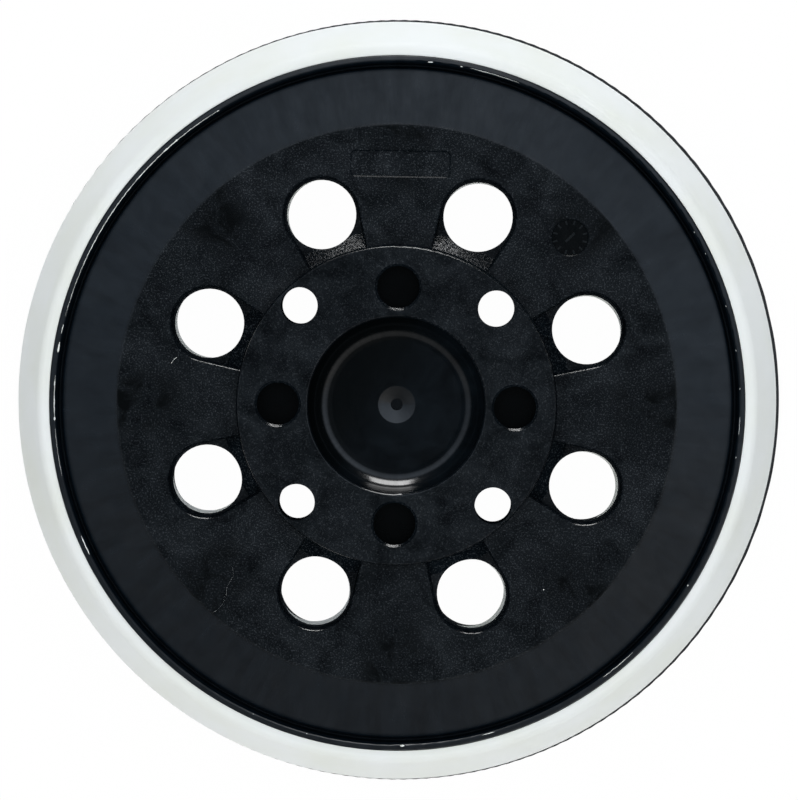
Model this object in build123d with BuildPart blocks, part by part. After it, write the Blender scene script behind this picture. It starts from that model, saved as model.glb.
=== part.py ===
from build123d import *
from math import asin, atan, degrees, radians, tan
import os

# Backing pad of a random-orbit sander. Millimetres and degrees.
# +Z points from the hook face to the sander, +Y to the code panel.
# The origin is at the centre of the hook face, where the pad rests.

# Layers, from the hooks up
hook_height = 1.2
fabric_thickness = 0.7
film_thickness = 0.2
foam_thickness = 7.9  # foam between the film and the web of the plate
web_thickness = 3.0
hub_rise = 2.0  # hub face above the web

# Foam cushion
foam_flare = 6.2  # foot of the cushion past the plate
foot_height = 0.6  # upright edge at the foot
shoulder_width = 1.8  # flat beside the lip of the plate
shoulder_drop = 0.5  # below the lip
shoulder_fall = 0.15  # from the lip to the shoulder's outer edge
shoulder_round = 1.6
foot_round = 0.25
foam_hole_margin = 0.1  # round the ends of the dust tubes

# Backing plate
plate_diameter = 110.8
lip_width = 1.0
lip_height = 1.4  # above the outer edge of the brake ring
lip_draft = 0.25
lip_fall = 0.25  # from the inner crest to the outer edge
lip_round = 0.3
groove_width = 0.65  # between the brake ring and the lip
groove_depth = 1.5  # below the outer edge of the brake ring
groove_draft = 0.2
groove_round = 0.2
ring_edge_round = 0.4  # where the brake ring falls into the groove
brake_ring_inner_diameter = 88.6
brake_ring_drop = 2.4  # from the web to the lip
brake_ring_round = 0.8
hub_margin = 0.3  # from the screw holes to the edge of the hub
hub_draft = 0.3
hub_round = 0.2
chamfer_angle = 45.0  # at every hole and pocket of the plate

# Cup for the end of the spindle, with the moulding gate in its floor
cup_diameter = 28.0
cup_depth = 4.0
cup_draft_angle = 8.0
cup_floor_round = 0.9 * cup_depth  # leaves a short straight wall below the mouth
cup_mouth_round = 0.4
cup_floor_thickness = 2.5
cup_wall = 2.5
dimple_diameter = 5.9
dimple_depth = 0.8
gate_diameter = 1.9
gate_depth = 0.8

# Dust ports, on the circle that 125 mm discs use
dust_hole_count = 8
dust_hole_circle = 65.0
dust_hole_diameter = 11.0
dust_hole_angle = 22.5
dust_pocket_margin = 0.3  # pocket round the hole
dust_pocket_depth = 2.6  # below the web
dust_pocket_draft_angle = 6.0
dust_pocket_chamfer = 0.12
ramp_start_depth = 0.8  # below the web, where the ramp leaves the hub
ramp_angle = 38.0
dust_tube_wall = 1.8
dust_tube_depth = 1.5  # below the web's underside
dust_tube_flare = 0.5  # from the pocket's floor to the end of the tube

# Screw holes, for M5, with room for the head and the driver below
screw_hole_count = 4
screw_hole_circle = 44.0
screw_hole_diameter = 5.8
screw_hole_angle = 45.0
screw_access_diameter = 10.5

# Blind sockets for the locating pins of the sander
socket_count = 4
socket_diameter = 6.7
socket_margin = 3.1  # from the sockets to the edge of the hub
socket_depth = 3.0
socket_angle = 0.0
socket_chamfer = 0.35

# Ribs under the web, which key into the foam
rib_count = 8
rib_thickness = 2.0
rib_depth = 2.0
rib_reach = 4.0  # past the inner edge of the brake ring

# Bare code panel and date dial on the web
mark_circle = 76.4
mark_depth = 0.2
panel_angle = 90.0
panel_length = 15.9
panel_width = 4.3
panel_round = 0.9
dial_angle = 45.0
dial_diameter = 6.0
tick_count = 12
tick_length = 0.7
tick_width = 0.28
tick_margin = 0.25  # from the edge of the dial
tick_height = 0.12
pointer_length = 2.0
pointer_width = 0.4

# Hook facing
facing_overhang = 0.2  # past the foot of the cushion
facing_hole_margin = 0.25  # round the holes of the cushion
row_pitch = 1.9
row_width = 0.9

# Levels
fabric_bottom = hook_height
fabric_top = fabric_bottom + fabric_thickness
film_top = fabric_top + film_thickness
web_bottom = film_top + foam_thickness
web_top = web_bottom + web_thickness
hub_top = web_top + hub_rise
ring_edge_top = web_top - brake_ring_drop
ring_edge_bottom = web_bottom - brake_ring_drop
groove_floor = ring_edge_top - groove_depth
lip_top = ring_edge_top + lip_height
shoulder_top = lip_top - shoulder_drop
cup_floor = hub_top - cup_depth
cup_bottom = cup_floor - cup_floor_thickness
gate_top = cup_floor - dimple_depth
pocket_floor = web_top - dust_pocket_depth
ramp_top = web_top - ramp_start_depth

# Radii
plate_radius = plate_diameter / 2
pad_radius = plate_radius + foam_flare
lip_inner_radius = plate_radius - lip_width
ring_outer_radius = lip_inner_radius - lip_draft
ring_edge_radius = ring_outer_radius - groove_width
ring_inner_radius = brake_ring_inner_diameter / 2
cup_radius = cup_diameter / 2
cup_floor_radius = cup_radius - cup_depth * tan(radians(cup_draft_angle))
cup_outer_radius = cup_radius + cup_wall
dust_circle_radius = dust_hole_circle / 2
dust_hole_radius = dust_hole_diameter / 2
dust_pocket_radius = dust_hole_radius + dust_pocket_margin
dust_tube_bore = dust_hole_radius + dust_tube_flare
foam_hole_radius = dust_tube_bore + foam_hole_margin
screw_circle_radius = screw_hole_circle / 2
screw_hole_radius = screw_hole_diameter / 2
screw_access_radius = screw_access_diameter / 2
hub_radius = screw_circle_radius + screw_hole_radius + hub_margin
hub_foot_radius = hub_radius + hub_draft
socket_radius = socket_diameter / 2
socket_circle_radius = hub_radius - socket_margin - socket_radius
mark_radius = mark_circle / 2
dial_radius = dial_diameter / 2
facing_radius = pad_radius + facing_overhang

# The sides of a dust pocket point at the middle of the hub and touch the pocket's round end.
pocket_side_slope = tan(asin(dust_pocket_radius / dust_circle_radius))
pocket_tangent = dust_circle_radius - dust_pocket_radius**2 / dust_circle_radius
pocket_top_growth = dust_pocket_depth * tan(radians(dust_pocket_draft_angle))
ramp_foot_radius = hub_foot_radius + (ramp_top - pocket_floor) / tan(radians(ramp_angle))

# The underside of the plate is also the top of the foam, so both take these points.
underside = [
    (plate_radius, ring_edge_bottom),
    (ring_outer_radius, ring_edge_bottom),
    (ring_inner_radius, web_bottom),
    (cup_outer_radius, web_bottom),
    (cup_outer_radius, cup_bottom),
    (0, cup_bottom),
]

os.makedirs("parts", exist_ok=True)

with BuildSketch() as pocket_outline:
    with PolarLocations(dust_circle_radius, dust_hole_count, dust_hole_angle):
        Circle(dust_pocket_radius)
    with PolarLocations(0, dust_hole_count, dust_hole_angle):
        Polygon(
            (cup_outer_radius, cup_outer_radius * pocket_side_slope),
            (cup_outer_radius, -cup_outer_radius * pocket_side_slope),
            (pocket_tangent, -pocket_tangent * pocket_side_slope),
            (pocket_tangent, pocket_tangent * pocket_side_slope),
            align=None,
        )

with BuildPart() as backing_plate:
    lip_crest = (lip_inner_radius, lip_top)
    lip_edge = (plate_radius, lip_top - lip_fall)
    lip_foot = (ring_outer_radius, groove_floor)
    groove_corner = (ring_edge_radius + groove_draft, groove_floor)
    ring_edge = (ring_edge_radius, ring_edge_top)
    ring_crest = (ring_inner_radius, web_top)
    hub_foot = (hub_foot_radius, web_top)
    hub_edge = (hub_radius, hub_top)
    cup_mouth = (cup_radius, hub_top)
    cup_corner = (cup_floor_radius, cup_floor)
    gate_floor = gate_top - gate_depth
    gate_radius = gate_diameter / 2
    with BuildSketch(Plane.XZ) as plate_profile:
        with BuildLine():
            Polyline(
                *underside,
                (0, gate_floor),
                (gate_radius, gate_floor),
                (gate_radius, gate_top),
                (dimple_diameter / 2, cup_floor),
                cup_corner,
                cup_mouth,
                hub_edge,
                hub_foot,
                ring_crest,
                ring_edge,
                groove_corner,
                lip_foot,
                lip_crest,
                lip_edge,
                close=True,
            )
        make_face()
        for corner, radius in (
            (cup_corner, cup_floor_round),
            (cup_mouth, cup_mouth_round),
            (hub_edge, hub_round),
            (ring_crest, brake_ring_round),
            (ring_edge, ring_edge_round),
            (groove_corner, groove_round),
            (lip_foot, groove_round),
            (lip_crest, lip_round),
            (lip_edge, lip_round),
        ):
            fillet(plate_profile.vertices().sort_by_distance(corner)[0], radius)
    revolve(axis=Axis.Z)

    # Ribs and dust tubes under the web
    rib_start = cup_radius
    rib_end = ring_inner_radius + rib_reach
    with BuildSketch(Plane.XY.offset(web_bottom - rib_depth)):
        with PolarLocations((rib_start + rib_end) / 2, rib_count):
            Rectangle(rib_end - rib_start, rib_thickness)
    extrude(amount=rib_depth)
    with BuildSketch(Plane.XY.offset(web_bottom - dust_tube_depth)):
        with PolarLocations(dust_circle_radius, dust_hole_count, dust_hole_angle):
            Circle(dust_hole_radius + dust_tube_wall)
    extrude(amount=dust_tube_depth)

    # Dust pockets, each with a ramp down from the hub
    with BuildSketch(Plane.XY.offset(pocket_floor)):
        add(pocket_outline.sketch)
        Circle(hub_radius, mode=Mode.SUBTRACT)
    extrude(amount=dust_pocket_depth, taper=-dust_pocket_draft_angle, mode=Mode.SUBTRACT)
    with BuildSketch(Plane.XY.offset(web_top)):
        add(pocket_outline.sketch)
        offset(amount=pocket_top_growth + dust_pocket_chamfer, mode=Mode.REPLACE)
        Circle(hub_radius, mode=Mode.SUBTRACT)
    extrude(amount=-dust_pocket_chamfer, taper=chamfer_angle, mode=Mode.SUBTRACT)
    with BuildSketch(Plane.XZ):
        with BuildLine():
            Polyline(
                (cup_outer_radius, web_bottom),
                (ramp_foot_radius, web_bottom),
                (ramp_foot_radius, pocket_floor),
                (hub_foot_radius, ramp_top),
                (hub_foot_radius, web_top),
                (cup_outer_radius, web_top),
                close=True,
            )
        make_face()
    revolve(axis=Axis.Z)

    # Dust holes, screw holes with a seat for the head below, and blind sockets
    with Locations((0, 0, hub_top)):
        with PolarLocations(dust_circle_radius, dust_hole_count, dust_hole_angle):
            Hole(dust_hole_radius)
        with PolarLocations(screw_circle_radius, screw_hole_count, screw_hole_angle):
            Hole(screw_hole_radius)
        with PolarLocations(socket_circle_radius, socket_count, socket_angle):
            Hole(socket_radius, depth=socket_depth)
    tube_height = pocket_floor - web_bottom + dust_tube_depth
    with BuildSketch(Plane.XY.offset(web_bottom - dust_tube_depth)):
        with PolarLocations(dust_circle_radius, dust_hole_count, dust_hole_angle):
            Circle(dust_tube_bore)
    extrude(amount=tube_height, taper=degrees(atan(dust_tube_flare / tube_height)), mode=Mode.SUBTRACT)
    with BuildSketch(Plane.XY.offset(hub_top)):
        with PolarLocations(socket_circle_radius, socket_count, socket_angle):
            Circle(socket_radius + socket_chamfer)
    extrude(amount=-socket_chamfer, taper=chamfer_angle, mode=Mode.SUBTRACT)
    with BuildSketch(Plane.XY.offset(web_bottom)):
        with PolarLocations(screw_circle_radius, screw_hole_count, screw_hole_angle):
            Circle(screw_access_radius)
    extrude(amount=-rib_depth, mode=Mode.SUBTRACT)

    # Bare code panel, and a date dial with plain ticks and a pointer
    with BuildSketch(Plane.XY.offset(web_top)):
        with PolarLocations(mark_radius, 1, panel_angle):
            RectangleRounded(panel_width, panel_length, panel_round)
        with PolarLocations(mark_radius, 1, dial_angle):
            Circle(dial_radius)
    extrude(amount=-mark_depth, taper=chamfer_angle, mode=Mode.SUBTRACT)
    with BuildSketch(Plane.XY.offset(web_top - mark_depth)):
        with PolarLocations(mark_radius, 1, dial_angle):
            with PolarLocations(dial_radius - tick_margin - tick_length / 2, tick_count):
                Rectangle(tick_length, tick_width)
            Rectangle(pointer_length, pointer_width)
    extrude(amount=tick_height)

with BuildPart() as foam_cushion:
    shoulder = (plate_radius + shoulder_width, shoulder_top - shoulder_fall)
    foot = (pad_radius, film_top + foot_height)
    with BuildSketch(Plane.XZ) as foam_profile:
        with BuildLine():
            Polyline(
                *underside,
                (0, film_top),
                (pad_radius, film_top),
                foot,
                shoulder,
                (plate_radius, shoulder_top),
                close=True,
            )
        make_face()
        fillet(foam_profile.vertices().sort_by_distance(shoulder)[0], shoulder_round)
        fillet(foam_profile.vertices().sort_by_distance(foot)[0], foot_round)
    revolve(axis=Axis.Z)
    add(backing_plate.part, mode=Mode.SUBTRACT)
    with Locations((0, 0, hub_top)):
        with PolarLocations(dust_circle_radius, dust_hole_count, dust_hole_angle):
            Hole(foam_hole_radius)
        with PolarLocations(screw_circle_radius, screw_hole_count, screw_hole_angle):
            Hole(screw_access_radius)

with BuildPart() as bond_film:
    with BuildSketch(Plane.XY.offset(fabric_top)):
        Circle(pad_radius)
        with PolarLocations(dust_circle_radius, dust_hole_count, dust_hole_angle):
            Circle(foam_hole_radius, mode=Mode.SUBTRACT)
        with PolarLocations(screw_circle_radius, screw_hole_count, screw_hole_angle):
            Circle(screw_access_radius, mode=Mode.SUBTRACT)
    extrude(amount=film_thickness)

with BuildPart() as hook_facing:
    row_count = 2 * int((facing_radius - row_width / 2) / row_pitch) + 1
    with BuildSketch(Plane.XY.offset(fabric_bottom)):
        Circle(facing_radius)
    extrude(amount=fabric_thickness)
    with BuildSketch():
        with GridLocations(row_pitch, 0, row_count, 1):
            Rectangle(row_width, 2 * facing_radius)
        Circle(facing_radius, mode=Mode.INTERSECT)
    extrude(amount=hook_height)
    with Locations((0, 0, fabric_top)):
        with PolarLocations(dust_circle_radius, dust_hole_count, dust_hole_angle):
            Hole(foam_hole_radius + facing_hole_margin)
        with PolarLocations(screw_circle_radius, screw_hole_count, screw_hole_angle):
            Hole(screw_access_radius + facing_hole_margin)

backing_plate.part.label = "backing_plate"
foam_cushion.part.label = "foam_cushion"
bond_film.part.label = "bond_film"
hook_facing.part.label = "hook_facing"

export_step(backing_plate.part, "parts/backing_plate.step")
export_step(foam_cushion.part, "parts/foam_cushion.step")
export_step(bond_film.part, "parts/bond_film.step")
export_step(hook_facing.part, "parts/hook_facing.step")
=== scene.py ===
import math

import bmesh
import bpy
from bpy.props import FloatProperty, FloatVectorProperty, IntProperty, PointerProperty
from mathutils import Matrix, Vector


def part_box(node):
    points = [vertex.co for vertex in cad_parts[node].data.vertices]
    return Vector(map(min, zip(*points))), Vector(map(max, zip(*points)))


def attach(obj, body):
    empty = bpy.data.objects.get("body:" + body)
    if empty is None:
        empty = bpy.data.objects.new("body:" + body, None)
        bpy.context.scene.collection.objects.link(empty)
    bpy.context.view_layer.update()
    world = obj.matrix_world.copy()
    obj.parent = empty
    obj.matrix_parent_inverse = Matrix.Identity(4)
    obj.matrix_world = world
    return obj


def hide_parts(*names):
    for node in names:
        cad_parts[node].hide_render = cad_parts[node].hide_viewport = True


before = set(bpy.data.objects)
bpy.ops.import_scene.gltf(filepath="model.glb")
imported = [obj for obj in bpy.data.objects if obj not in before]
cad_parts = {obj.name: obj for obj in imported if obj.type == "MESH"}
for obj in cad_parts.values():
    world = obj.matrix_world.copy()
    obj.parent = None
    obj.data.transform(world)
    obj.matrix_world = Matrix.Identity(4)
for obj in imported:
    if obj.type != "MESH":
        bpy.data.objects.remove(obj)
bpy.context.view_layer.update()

bl_info = {
    "name": "Sander backing pad",
    "version": (1, 0, 0),
    "blender": (4, 5, 0),
    "location": "3D View > Sidebar > Pad",
    "description": "Dresses the frame of a sander's backing pad: moulded plate, foam cushion, hook facing",
    "category": "Object",
}

MM = 0.001
BODY = "root"
PLATE_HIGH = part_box("backing_plate")[1]
FOAM_LOW, FOAM_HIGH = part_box("foam_cushion")
FACING_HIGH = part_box("hook_facing")[1]

# Places on the plate, for its finishes. A zone that fades in has the radii where it starts and is full.
DIMPLE_RADIUS = 3.1 * MM
CUP_ZONE = (14.3 * MM, 13.7 * MM)
SOCKETS_FROM, SOCKETS_TO, SOCKETS_REACH, SOCKETS_BELOW = 15 * MM, 24 * MM, 6 * MM, 14 * MM
RAMPS_FROM, RAMPS_TO, RAMPS_SLOPE = 25.2 * MM, 32 * MM, 0.79
SMUDGE_ZONE = (31 * MM, 38 * MM)
MARKS_FROM, MARKS_BEYOND = 33.5 * MM, 24 * MM
DIAL_CENTRE, DIAL_RADIUS, DIAL_FLOOR = (27.01 * MM, 27.01 * MM, 0), 2.9 * MM, 12.86 * MM
RING_ZONE = (44.2 * MM, 44.9 * MM)
ROLL_ZONE = (52.6 * MM, 53.5 * MM)
LIP_ZONE = (54.2 * MM, 54.5 * MM)
WEB_LEVEL = 12.95 * MM

# Sides of the turned meshes.
FOAM_SIDES, GROUND_SIDES, HOLE_SIDES = 360, 1440, 64


def linear(hex_colour):
    """A linear colour from an sRGB hex value."""
    channels = [int(hex_colour[i : i + 2], 16) / 255 for i in (1, 3, 5)]
    return tuple(c / 12.92 if c <= 0.04045 else ((c + 0.055) / 1.055) ** 2.4 for c in channels)


def add_node(tree, kind, inputs=None, **settings):
    """Adds a node with its settings. An input is a value, a socket, or a node whose first output is meant."""
    made = tree.nodes.new(kind)
    for key, value in settings.items():
        setattr(made, key, value)
    for key, value in (inputs or {}).items():
        named = [s for s in made.inputs if s.name == key and s.enabled]
        socket = named[0] if named else made.inputs[key]
        if isinstance(value, bpy.types.Node):
            value = next(s for s in value.outputs if s.enabled)
        if isinstance(value, bpy.types.NodeSocket):
            tree.links.new(value, socket)
        else:
            socket.default_value = value
    return made


def count_of(name, description, default):
    """A property for a number of pieces."""
    return IntProperty(name=name, description=description, default=default, min=3)


def power_of(name, description, watts):
    """A property for a lamp's power."""
    return FloatProperty(name=name, description=description, default=watts, unit="POWER")


def length_of(name, description, default):
    """A property for a length."""
    return FloatProperty(name=name, description=description, default=default, unit="LENGTH", precision=5)


def angle_of(name, description, degrees):
    """A property for an angle."""
    return FloatProperty(name=name, description=description, default=math.radians(degrees), subtype="ANGLE")


def colour_of(name, description, hex_colour):
    """A property for a colour."""
    shade = linear(hex_colour)
    return FloatVectorProperty(name=name, description=description, default=shade, subtype="COLOR", min=0, max=1)


class PadHoles(bpy.types.PropertyGroup):
    """Holes through the whole pad."""

    dust_count: count_of("Dust holes", "Number of dust holes", 8)
    dust_circle: length_of("Dust circle", "Radius of the circle of dust holes", 32.5 * MM)
    dust_radius: length_of("Dust hole", "Radius of a dust hole through the foam", 5.88 * MM)
    dust_angle: angle_of("Dust angle", "Angle of the first dust hole", 22.5)
    screw_count: count_of("Screws", "Number of screw holes", 4)
    screw_circle: length_of("Screw circle", "Radius of the circle of screw holes", 22 * MM)
    screw_access: length_of("Screw access", "Radius of the driver's hole through the foam", 5.25 * MM)
    screw_angle: angle_of("Screw angle", "Angle of the first screw hole", 45)


class CushionSizes(bpy.types.PropertyGroup):
    """The cast foam cushion."""

    foot_radius: length_of("Foot", "Radius at the foot of the cushion, shrunk a little", FOAM_HIGH.x - 0.19 * MM)
    foot_level: length_of("Foot level", "Level of the cushion's underside", FOAM_LOW.z)
    foot_height: length_of("Foot height", "Height of the upright edge at the foot", 0.6 * MM)
    foot_round: length_of("Foot round", "Rounding above that edge", 0.35 * MM)
    plate_radius: length_of("Plate", "Radius of the plate's rim", PLATE_HIGH.x)
    shoulder_level: length_of("Shoulder level", "Level of the flat beside the plate's lip", FOAM_HIGH.z)
    shoulder_width: length_of("Shoulder width", "Width of that flat", 1.8 * MM)
    shoulder_fall: length_of("Shoulder fall", "Fall of that flat outwards", 0.15 * MM)
    shoulder_round: length_of("Shoulder round", "Rounding of the shoulder", 1.6 * MM)
    web_level: length_of("Web level", "Level of the web, from below", 10 * MM)
    ring_inner: length_of("Ring inner", "Radius where the plate starts to slope", 44.3 * MM)
    ring_outer: length_of("Ring outer", "Radius where the slope ends", 54.15 * MM)
    ring_drop: length_of("Ring drop", "Fall of the slope", 2.4 * MM)
    cup_radius: length_of("Cup", "Radius of the cup's boss, from below", 16.5 * MM)
    cup_level: length_of("Cup level", "Level of the cup's boss, from below", 8.5 * MM)
    tube_radius: length_of("Dust tube", "Outer radius of a dust tube", 7.3 * MM)
    tube_depth: length_of("Tube depth", "Depth of a dust tube below the web", 1.5 * MM)
    rib_count: count_of("Ribs", "Number of ribs under the web", 8)
    rib_start: length_of("Rib start", "Radius where a rib starts", 14 * MM)
    rib_end: length_of("Rib end", "Radius where a rib ends", 48.3 * MM)
    rib_width: length_of("Rib width", "Thickness of a rib", 2 * MM)
    rib_depth: length_of("Rib depth", "Depth of a rib below the web", 2 * MM)
    gap: length_of("Gap", "Gap kept to the plate", 0.03 * MM)
    lean_x: length_of("Lean X", "How far off centre the foot was cast, along X", -0.18 * MM)
    lean_y: length_of("Lean Y", "How far off centre the foot was cast, along Y", -0.03 * MM)
    punch_x: length_of("Punch X", "How far off centre the dust holes came out, along X", -0.2 * MM)
    punch_y: length_of("Punch Y", "How far off centre the dust holes came out, along Y", -0.2 * MM)
    punch_turn: angle_of("Punch turn", "How far the circle of dust holes came out turned", -0.7)
    waviness: length_of("Waviness", "Unevenness of the moulded skin", 0.07 * MM)


class FlashSizes(bpy.types.PropertyGroup):
    """Slivers of foam that crept over the plate's lip."""

    radius: length_of("Radius", "Radius of the lip's inner crest", 54.53 * MM)
    level: length_of("Level", "Level of the lip's crest", 11.93 * MM)
    thickness: length_of("Thickness", "Half thickness of the thickest sliver", 0.16 * MM)
    web_level: length_of("Web level", "Level of the web, where a torn thread lies", 13.02 * MM)


class FacingSizes(bpy.types.PropertyGroup):
    """The woven hook facing."""

    radius: length_of("Radius", "Radius of the facing, trimmed a little", FACING_HIGH.x - 0.08 * MM)
    top: length_of("Top", "Level of the fabric's upper face", FACING_HIGH.z)
    fabric: length_of("Fabric", "Thickness of the woven ground", 0.5 * MM)
    pitch: length_of("Row pitch", "Distance between rows of hooks", 1.9 * MM)
    spacing: length_of("Hook spacing", "Distance between hooks along a row", 1.3 * MM)
    hook_height: length_of("Hook height", "Height of a hook", 1.29 * MM)
    filament: length_of("Filament", "Radius of a hook's filament", 0.1 * MM)
    scallop: length_of("Scallop", "Depth of the steps between rows at the cut edge", 0.06 * MM)
    hole_margin: length_of("Hole margin", "Width of the facing's holes past the foam's", 0.25 * MM)
    shift_x: length_of("Shift X", "How far off centre the facing was laid, along X", 0.1 * MM)
    shift_y: length_of("Shift Y", "How far off centre the facing was laid, along Y", 0.03 * MM)
    seed: IntProperty(name="Seed", description="Seed for the scatter of the hooks", default=7)


class PadFinishes(bpy.types.PropertyGroup):
    """Colours of the pad and its stage."""

    nylon: colour_of("Nylon", "Black glass-filled nylon of web and hub", "#080d11")
    ring_nylon: colour_of("Brake ring", "Smooth nylon of the brake ring", "#091016")
    fleck: colour_of("Fleck", "Grains of the spark-eroded web", "#2f3438")
    # Smudge also darkens the dial and the cup towards the upper left, and is painted shade in the sockets.
    smudge: colour_of("Smudge", "Resin-rich patches over the ribs", "#030506")
    # Rubbed nylon is a painted highlight on the tops of the dial's ticks.
    rubbed: colour_of("Rubbed nylon", "Rubbed tops of the dial's ticks", "#14181a")
    foam: colour_of("Foam", "Polyurethane foam", "#e7eae8")
    old_foam: colour_of("Old foam", "Yellowed patches of the foam", "#e0e3d8")
    film: colour_of("Film", "Polyurethane film, tinted black", "#202225")
    fabric: colour_of("Fabric", "Woven nylon of the facing", "#141518")
    hooks: colour_of("Hooks", "Nylon filament of the hooks", "#1d1e23")
    paper: colour_of("Paper", "Seamless paper under the pad", "#f4f4f4")
    daylight: colour_of("Daylight", "Colour of the light tent's back and sides", "#e0eeff")
    lamplight: colour_of("Lamplight", "Colour of the light tent's front", "#efefef")


class StageSizes(bpy.types.PropertyGroup):
    """Camera and lights."""

    camera_x: length_of("Camera X", "Place of the camera along X", 8.118 * MM)
    camera_y: length_of("Camera Y", "Place of the camera along Y", 22.246 * MM)
    camera_z: length_of("Camera Z", "Height of the camera", 486.615 * MM)
    camera_pitch: angle_of("Camera pitch", "Turn of the camera about X from straight down", -2.572)
    camera_yaw: angle_of("Camera yaw", "Turn of the camera about Y from straight down", 0.977)
    camera_roll: angle_of("Camera roll", "Turn of the camera about Z", 0.95)
    lens: FloatProperty(name="Lens", description="Focal length on a frame 36 mm high", default=134.54, unit="CAMERA")
    key_power: power_of("Key", "Softbox beyond the picture's top", 1.55)
    gleam_power: power_of("Gleam", "The key's share in polished edges", 3.4)
    top_power: power_of("Top", "Fill from straight above", 1.45)
    front_power: power_of("Front", "Fill from the picture's foot", 1.6)
    side_power: power_of("Sides", "Fill from the left and the right", 0.65)
    horizon: FloatProperty(name="Horizon", description="Brightness of the room at the horizon", default=0.01)
    tent: FloatProperty(name="Tent", description="Brightness of the light tent's slopes", default=0.8)
    zenith: FloatProperty(name="Zenith", description="Brightness of the tent's open top", default=0.125)


class PadSettings(bpy.types.PropertyGroup):
    """All sizes and colours of the pad and its stage."""

    holes: PointerProperty(type=PadHoles)
    cushion: PointerProperty(type=CushionSizes)
    flash: PointerProperty(type=FlashSizes)
    facing: PointerProperty(type=FacingSizes)
    finish: PointerProperty(type=PadFinishes)
    stage: PointerProperty(type=StageSizes)


def new_material(name):
    """A material with only a shader and an output; returns it, its tree, the shader and Object coordinates."""
    material = bpy.data.materials.new(name)
    material.use_nodes = True
    tree = material.node_tree
    tree.nodes.clear()
    shader = add_node(tree, "ShaderNodeBsdfPrincipled")
    add_node(tree, "ShaderNodeOutputMaterial", {"Surface": shader})
    place = add_node(tree, "ShaderNodeTexCoord").outputs["Object"]
    return material, tree, shader, place


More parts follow.
